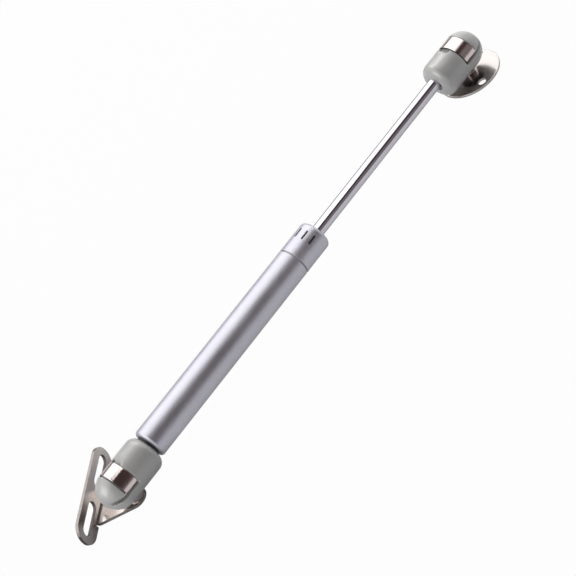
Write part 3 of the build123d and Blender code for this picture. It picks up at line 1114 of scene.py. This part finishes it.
@dataclass
class AngleBracket:
    """The pressed bracket: a flat blank with two slots, folded along one line.

    On the blank, x runs along the fold and y from the stud towards the flange. The shift
    is how far the flange's middle lies along the fold, and the setback how far its near
    face stands from the stud.
    """

    thickness: float = 1.5 * MM
    angle: float = math.radians(35.7)
    length: float = 47.0 * MM
    shift: float = 1.5 * MM
    setback: float = 17.4 * MM
    corner: float = 6.0 * MM
    fold_radius: float = 0.8 * MM
    fold_steps: int = 10
    foot_half: float = 9.85 * MM
    foot_gap: float = 0.5 * MM
    tip_radius: float = 5.6 * MM
    tip_offset: float = 1.3 * MM
    relief: float = 0.9 * MM
    slot_length: float = 16.5 * MM
    slot_width: float = 5.2 * MM
    slot_pitch: float = 24.2 * MM
    slot_level: float = 6.8 * MM
    edge: float = 0.40 * MM
    stud_hole: float = BallStud.shank_radius + BallStud.shank_gap
    rivet_seat: float = BallStud.rivet_radius + BallStud.rivet_gap
    hole_steps: int = 40
    corner_steps: int = 14
    slot_steps: int = 20
    wall_slope: float = 0.25
    face_slope: float = 0.97

    def build(self) -> float:
        """Build the bracket.

        Returns:
            The sheet's thickness.
        """
        low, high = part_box("angle_bracket")
        self.height = high.z - low.z
        self.outer_fold = self.fold_radius + self.thickness
        self.fold_start = self.setback + self.thickness - self.outer_fold
        self.fold_run = (self.fold_radius + self.thickness / 2) * QUARTER
        self.fold_end = self.fold_start + self.fold_run
        self.upright = self.fold_end - self.outer_fold
        self.slot_y = self.upright + self.slot_level
        blank = self._blank()
        paint(blank, BRACKET_NICKEL)
        paint(blank, BLANKED_WALL, self._blanked)
        # Slot walls, rounded edges and the inside of the fold get painted shade.
        paint(blank, EDGE_PAINTED_SHADE, self._painted_shade)
        self._fold(blank)
        stud = Vector((ball_of("tube_end")[0].x, 0, 0))
        blank.data.transform(Matrix.Translation(stud) @ Matrix.Rotation(self.angle, 4, "Z"))
        even_shading(blank)
        hand_over(blank, "angle_bracket", "plated_sheet", "angle_bracket")
        return self.thickness

    def _blanked(self, place: Vector, normal: Vector) -> bool:
        """Tell whether a face of the flat blank is a cut wall past the fold's start."""
        return abs(normal.z) < self.wall_slope and place.y > self.fold_start

    def _painted_shade(self, place: Vector, normal: Vector) -> bool:
        """Tell whether a face gets painted shade: a slot's wall, a rounded edge or the inside of the fold.

        Args:
            place: The face's centre on the flat blank.
            normal: Its normal.

        Returns:
            Whether it gets painted shade.
        """
        slope = abs(normal.z)
        if slope < self.wall_slope:
            return abs(place.y - self.slot_y) < self.slot_width / 2 + self.edge
        if slope < self.face_slope:
            return True
        in_fold = self.fold_start < place.y < self.fold_end
        return normal.z > 0 and in_fold and abs(place.x) < self.foot_half

    def _blank(self) -> Piece:
        """Make the flat blank, lying in the foot's plane with its outline rounded.

        Returns:
            The blank.
        """
        curve = bpy.data.curves.new("bracket_flat", "CURVE")
        curve.dimensions = "2D"
        curve.fill_mode = "BOTH"
        rivet_hole = arc((0, 0), self.stud_hole, 0, math.tau, self.hole_steps)[:-1]
        for outline in (self._outline(), self._slot(-1), self._slot(1), rivet_hole):
            spline = curve.splines.new("POLY")
            spline.points.add(len(outline) - 1)
            for point, (x, y) in zip(spline.points, outline):
                point.co = (x, y, 0, 1)
            spline.use_cyclic_u = True
        flat = new_object("bracket_flat", curve)
        piece = new_object("cabinet_bracket", evaluated_mesh(flat))
        bpy.data.objects.remove(flat)
        with edited(piece.data) as work:
            bmesh.ops.remove_doubles(work, verts=work.verts, dist=SAME_PLACE)
            straight = math.radians(1)
            bmesh.ops.dissolve_limit(work, angle_limit=straight, verts=work.verts, edges=work.edges)
        modify(piece, "SOLIDIFY", thickness=self.thickness, offset=1.0)
        close_up(piece.data)
        lowest = min(vertex.co.z for vertex in piece.data.vertices)
        piece.data.transform(Matrix.Translation((0, 0, -lowest)))
        for vertex in piece.data.vertices:
            if vertex.co.z < self.thickness / 2 and vertex.co.xy.length < self.stud_hole + self.edge:
                vertex.co.xy *= self.rivet_seat / self.stud_hole
        bevel(piece, self.edge, segments=3, degrees=60)
        self._crease(piece)
        return piece

    def _outline(self) -> list[Point]:
        """Draw the blank's outline.

        Returns:
            Its points, counter-clockwise from the left side of the foot's tip.
        """
        x, y = self.foot_half, self.fold_start - self.foot_gap
        bearing = math.atan2(y - self.tip_offset, x)
        tangent = bearing - math.acos(self.tip_radius / math.hypot(x, y - self.tip_offset))
        sweep = 2 * tangent - math.pi + math.tau
        points = arc((0, self.tip_offset), self.tip_radius, math.pi - tangent, sweep, self.hole_steps)
        wing = x + self.relief
        points += [(x, y), (x, self.fold_end), (wing, self.fold_end), (wing, self.upright)]
        left = self.shift - self.length / 2 + self.corner
        right = self.shift + self.length / 2 - self.corner
        bottom = self.upright + self.corner
        top = self.upright + self.height - self.corner
        for turn, centre in enumerate(((right, bottom), (right, top), (left, top), (left, bottom)), -1):
            points += arc(centre, self.corner, turn * QUARTER, QUARTER, self.corner_steps)
        return points + [(-wing, self.upright), (-wing, self.fold_end), (-x, self.fold_end), (-x, y)]

    def _slot(self, side: int) -> list[Point]:
        """Draw one slot.

        Args:
            side: -1 for the left slot, 1 for the right one.

        Returns:
            Its outline.
        """
        radius = self.slot_width / 2
        half = self.slot_length / 2 - radius
        middle = self.shift + side * self.slot_pitch / 2
        right = arc((middle + half, self.slot_y), radius, -QUARTER, math.pi, self.slot_steps)
        return right + arc((middle - half, self.slot_y), radius, QUARTER, math.pi, self.slot_steps)

    def _crease(self, piece: Piece) -> None:
        """Cut lines across the blank where the fold runs, so that it can bend.

        Args:
            piece: The flat blank.
        """
        with edited(piece.data) as work:
            for step in range(self.fold_steps + 1):
                line = (0, self.fold_start + self.fold_run * step / self.fold_steps, 0)
                parts = [*work.verts, *work.edges, *work.faces]
                bmesh.ops.bisect_plane(work, geom=parts, dist=TINY, plane_co=line, plane_no=(0, 1, 0))
            bmesh.ops.triangulate(work, faces=[face for face in work.faces if len(face.verts) > 4])

    def _fold(self, piece: Piece) -> None:
        """Bend the blank up along the fold; the wings beside it stand up flat.

        Args:
            piece: The creased blank.
        """
        wing = self.foot_half + self.relief / 2
        back = self.setback + self.thickness
        for vertex in piece.data.vertices:
            x, y, z = vertex.co
            if abs(x) > wing or y >= self.fold_end:
                vertex.co = (x, back - z, y - self.upright)
            elif y > self.fold_start:
                angle = (y - self.fold_start) / self.fold_run * QUARTER
                radius = self.outer_fold - z
                bent_y = self.fold_start + radius * math.sin(angle)
                vertex.co = (x, bent_y, self.outer_fold - radius * math.cos(angle))


class InnerPieces:
    """The pieces inside the tube, which keep their shapes and get their finishes."""

    FINISHES = {
        # The end plug gets painted shade, so the gap beside it reads black.
        "end_plug": PLUG_PAINTED_SHADE,
        "plug_o_ring": SEAL_RUBBER,
        "piston": PISTON_METAL,
        "piston_ring": GUIDE_PLASTIC,
        "piston_front_washer": OILED_STEEL,
        "piston_back_washer": OILED_STEEL,
        "guide_washer": OILED_STEEL,
        "guide_bush": GUIDE_PLASTIC,
        "rod_seal": SEAL_RUBBER,
        "seal_support": GUIDE_PLASTIC,
    }

    def build(self) -> None:
        """Dress every inner piece."""
        for name, finish in self.FINISHES.items():
            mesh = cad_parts[name].data
            mesh.materials.clear()
            mesh.materials.append(finish.material())
            log.info("%s has the finish %s", name, finish.name)


STRUT_MIDDLE = Vector((-0.12, 0, 0.013))


def facing(right: Vector, up: Vector, back: Vector, place: Vector) -> Matrix:
    """Return the matrix of a camera or a lamp at a place, from its own three directions."""
    return Matrix.Translation(place) @ Matrix((right, up, back)).transposed().to_4x4()


@dataclass(frozen=True)
class SoftBox:
    """A soft box that faces the strut's middle; it lights dull surfaces and isn't mirrored."""

    # What the lamp's watts are for each square metre of its face and each unit of radiance.
    WATTS_PER_RADIANCE = 4.0

    name: str
    away: Triple
    size: Point
    radiance: float

    def hang(self) -> Piece:
        """Hang the soft box.

        Returns:
            The lamp's object.
        """
        lamp = bpy.data.lights.new(self.name, "AREA")
        lamp.shape = "RECTANGLE"
        lamp.size, lamp.size_y = self.size
        lamp.energy = self.WATTS_PER_RADIANCE * self.radiance * lamp.size * lamp.size_y
        holder = new_object(self.name, lamp)
        away = Vector(self.away)
        back = away.normalized()
        level = Vector((0, 0, 1)).cross(back).normalized()
        holder.matrix_world = facing(level, back.cross(level), back, STRUT_MIDDLE + away)
        holder.visible_camera = False
        holder.visible_glossy = False
        return holder


@dataclass(frozen=True)
class Screen:
    """A curved screen along the strut, which only reflections see.

    Its reach is its first and last angle about the strut's axis, in degrees from +Y,
    and its span goes along the strut from its middle. Its tones run from its lowest
    edge to its highest. A screen in front of another is nearer by a centimetre or two.
    """

    RADIUS = 0.85
    STEPS = 24

    name: str
    reach: Point
    span: Point
    tones: tuple[Tone, ...]
    nearer: float = 0.0

    def stand(self) -> None:
        """Stand the screen up."""
        start, end = (math.radians(angle) for angle in self.reach)
        curve = arc(STRUT_MIDDLE.yz, self.RADIUS - self.nearer, start, end - start, self.STEPS)
        verts = [(STRUT_MIDDLE.x + x, y, z) for y, z in curve for x in self.span]
        screen = mesh_object(self.name, verts, grid_faces(self.STEPS, 1))
        heights = [z for _, z in curve]
        material = bpy.data.materials.new(self.name)
        graph = NodeGraph.of(material)
        place = graph.add("ShaderNodeTexCoord").outputs["Object"]
        height = graph.add("ShaderNodeSeparateXYZ", {0: place}).outputs["Z"]
        color = graph.ramp(graph.remap(height, min(heights), max(heights)), self.tones)
        glow = graph.out("ShaderNodeEmission", {"Color": color, "Strength": 1.0})
        graph.add("ShaderNodeOutputMaterial", {"Surface": glow})
        screen.data.materials.append(material)
        screen.visible_camera = False
        screen.visible_diffuse = False
        screen.visible_shadow = False


@dataclass
class Studio:
    """Floor, lamps and camera.

    Reflections see the floor glow, but less along the strip under the strut, and not at
    all in the dull round under the bracket.
    """

    CARD = (1.95, 1.95, 1.95)
    DEEP_BROWN = (0.05, 0.033, 0.03)
    LOW_GREY = (0.36, 0.34, 0.36)
    WIDE = (-1.6, 1.6)
    SIDE = (0.6, 0.6)
    SOFT_BOXES = (
        SoftBox("long_soft_box", (0, 0.57, 0.57), (2.6, 0.7), 1.4),
        SoftBox("left_soft_box", (-1.0, -0.32, 0.16), SIDE, 3.1),
        SoftBox("right_soft_box", (1.1, -0.10, 0.45), SIDE, 3.1),
    )
    GLEAMS = (
        SoftBox("gleam_box_0", (0.25, 0.35, 0.55), (0.44, 0.32), 4.2),
        SoftBox("gleam_box_1", (-0.72, 0.15, 0.36), (0.50, 0.50), 3.4),
        SoftBox("gleam_box_2", (0.72, 0.55, 0.05), (0.50, 0.30), 1.6),
    )
    BROWN_TONES = (
        (0.0, LOW_GREY), (0.12, (0.24, 0.21, 0.22)), (0.26, (0.10, 0.077, 0.077)),
        (0.60, (0.06, 0.044, 0.040)), (1.0, DEEP_BROWN),
    )
    DARK_TONES = (
        (0.0, LOW_GREY), (0.12, (0.27, 0.245, 0.26)), (0.30, (0.19, 0.17, 0.175)),
        (0.50, (0.23, 0.205, 0.21)), (0.68, (0.18, 0.15, 0.155)),
        (0.79, (0.07, 0.05, 0.048)), (1.0, DEEP_BROWN),
    )
    ROD_TONES = ((0.0, (0.10, 0.085, 0.085)), (0.55, (0.75, 0.72, 0.75)), (1.0, CARD))
    GREY_TONES = ((0.0, (0.30, 0.29, 0.30)), (1.0, (0.42, 0.41, 0.42)))
    SCREENS = (
        Screen("brown_screen", (99.0, 179.0), (-0.5, 0.22), BROWN_TONES, 0.01),
        Screen("dark_screen", (111.0, 179.0), (0.22, 0.9), DARK_TONES, 0.01),
        Screen("clip_screen", (80.0, 100.0), (-0.12, -0.01), ((0.0, DEEP_BROWN), (1.0, DEEP_BROWN)), 0.02),
        Screen("rod_screen", (96.0, 113.0), (0.36, 0.9), ROD_TONES, 0.02),
        Screen("grey_screen", (1.0, 24.0), WIDE, GREY_TONES),
        Screen("white_card", (24.0, 113.0), WIDE, ((0.0, CARD), (1.0, CARD))),
    )

    stand_from_ball: Triple = (-0.3499, -0.5630, 0.4705)
    look_azimuth: float = math.radians(20.95)
    look_down: float = math.radians(37.59)
    roll: float = math.radians(-38.626)
    focal_px: float = 1763.0
    sensor_mm: float = 36.0
    clip_start: float = 0.01
    room_light: float = 0.09
    floor_side: float = 3.0
    floor_drop: float = 0.02 * MM
    floor_color: Triple = (0.64, 0.64, 0.66)
    floor_glow: float = 0.97
    mirrored_glow: float = 0.55
    dull_core: float = 23 * MM
    dull_reach: float = 46 * MM
    strip_middle: float = 2 * MM
    strip_core: float = 2 * MM
    strip_reach: float = 12 * MM
    strip_glow: float = 0.15

    def build(self) -> None:
        """Set up everything round the object."""
        self._camera()
        self._floor()
        self._world()
        for box in self.SOFT_BOXES:
            box.hang()
        for screen in self.SCREENS:
            screen.stand()
        bpy.context.scene.view_settings.view_transform = "Standard"

    def _camera(self) -> None:
        """Place the camera at the photograph's viewing angle."""
        east, north = math.sin(self.look_azimuth), math.cos(self.look_azimuth)
        level = Vector((north, -east, 0))
        flat = math.cos(self.look_down)
        ahead = Vector((flat * east, flat * north, -math.sin(self.look_down)))
        right = level * math.cos(self.roll) + level.cross(ahead) * math.sin(self.roll)
        stand = Vector((ball_of("rod_end")[0].x, 0, 0)) + Vector(self.stand_from_ball)
        data = bpy.data.cameras.new("camera")
        data.lens = self.focal_px / IMAGE_SIDE_PX * self.sensor_mm
        data.sensor_width = self.sensor_mm
        data.clip_start = self.clip_start
        camera = new_object("camera", data)
        camera.matrix_world = facing(right, right.cross(ahead), -ahead, stand)
        bpy.context.scene.camera = camera

    def _floor(self) -> None:
        """Lay a plain pale floor under the plates."""
        side = self.floor_side
        verts = [(-side, -side, 0), (side, -side, 0), (side, side, 0), (-side, side, 0)]
        floor = mesh_object("floor", verts, [(0, 1, 2, 3)])
        floor.location.z = -self.floor_drop
        material = bpy.data.materials.new("pale_floor")
        graph = NodeGraph.of(material)
        paper = graph.out("ShaderNodeBsdfDiffuse", {"Color": (*self.floor_color, 1)})
        glow = graph.out("ShaderNodeEmission", {"Color": (1, 1, 1, 1), "Strength": 1.0})
        path = graph.add("ShaderNodeLightPath").outputs
        place = graph.add("ShaderNodeTexCoord").outputs["Object"]
        low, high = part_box("angle_bracket")
        foot = ((low.x + high.x) / 2, (low.y + high.y) / 2, 0)
        away = graph.add("ShaderNodeVectorMath", {0: place, 1: foot}, operation="DISTANCE")
        clear = graph.remap(away.outputs["Value"], self.dull_core, self.dull_reach)
        across = graph.add("ShaderNodeSeparateXYZ", {0: place}).outputs["Y"]
        beside = graph.math("ABSOLUTE", graph.math("SUBTRACT", across, self.strip_middle))
        open_floor = graph.remap(beside, self.strip_core, self.strip_reach, self.strip_glow)
        glowing = graph.math("MULTIPLY", graph.math("MULTIPLY", clear, open_floor), self.mirrored_glow)
        mirrored = graph.math("MULTIPLY", path["Is Glossy Ray"], glowing)
        share = graph.math("MULTIPLY_ADD", path["Is Camera Ray"], self.floor_glow, mirrored)
        lit = graph.out("ShaderNodeMixShader", {0: share, 1: paper, 2: glow})
        graph.add("ShaderNodeOutputMaterial", {"Surface": lit})
        floor.data.materials.append(material)

    def _world(self) -> None:
        """Fill the room with even light and a white backdrop."""
        world = bpy.data.worlds.new("room")
        bpy.context.scene.world = world
        graph = NodeGraph.of(world)
        path = graph.add("ShaderNodeLightPath").outputs
        seen = graph.math("MAXIMUM", path["Is Camera Ray"], path["Is Glossy Ray"])
        shown = graph.math("MAXIMUM", seen, path["Is Transmission Ray"])
        strength = graph.math("MULTIPLY_ADD", shown, 1 - self.room_light, self.room_light)
        glow = graph.out("ShaderNodeBackground", {"Color": (1, 1, 1, 1), "Strength": strength})
        graph.add("ShaderNodeOutputWorld", {"Surface": glow})

    def gleam(self, *pieces: Piece) -> None:
        """Hang the soft boxes whose gleam only some pieces show.

        Args:
            *pieces: The moulded sockets.
        """
        receivers = bpy.data.collections.new("gleam_receivers")
        for piece in pieces:
            receivers.objects.link(piece)
        for box in self.GLEAMS:
            lamp = box.hang()
            lamp.visible_diffuse = False
            lamp.visible_glossy = True
            lamp.light_linking.receiver_collection = receivers


def main() -> None:
    """Build the strut piece by piece, then the studio round it."""
    logging.basicConfig(level=logging.INFO, format="%(name)s: %(message)s")
    studio = Studio()
    studio.build()
    PressureTube().build()
    PistonRod().build()
    SocketEnd("tube_end", 1, "cylinder").build()
    SocketEnd("rod_end", -1, "rod").build()
    bracket_sheet = AngleBracket().build()
    plate_sheet = RoundPlate().build()
    BallStud("tube_end", "tube_end_stud").build(bracket_sheet)
    BallStud("rod_end", "rod_end_stud").build(plate_sheet)
    InnerPieces().build()
    studio.gleam(bpy.data.objects["tube_side_socket"], bpy.data.objects["rod_side_socket"])


if __name__ == "__main__":
    main()
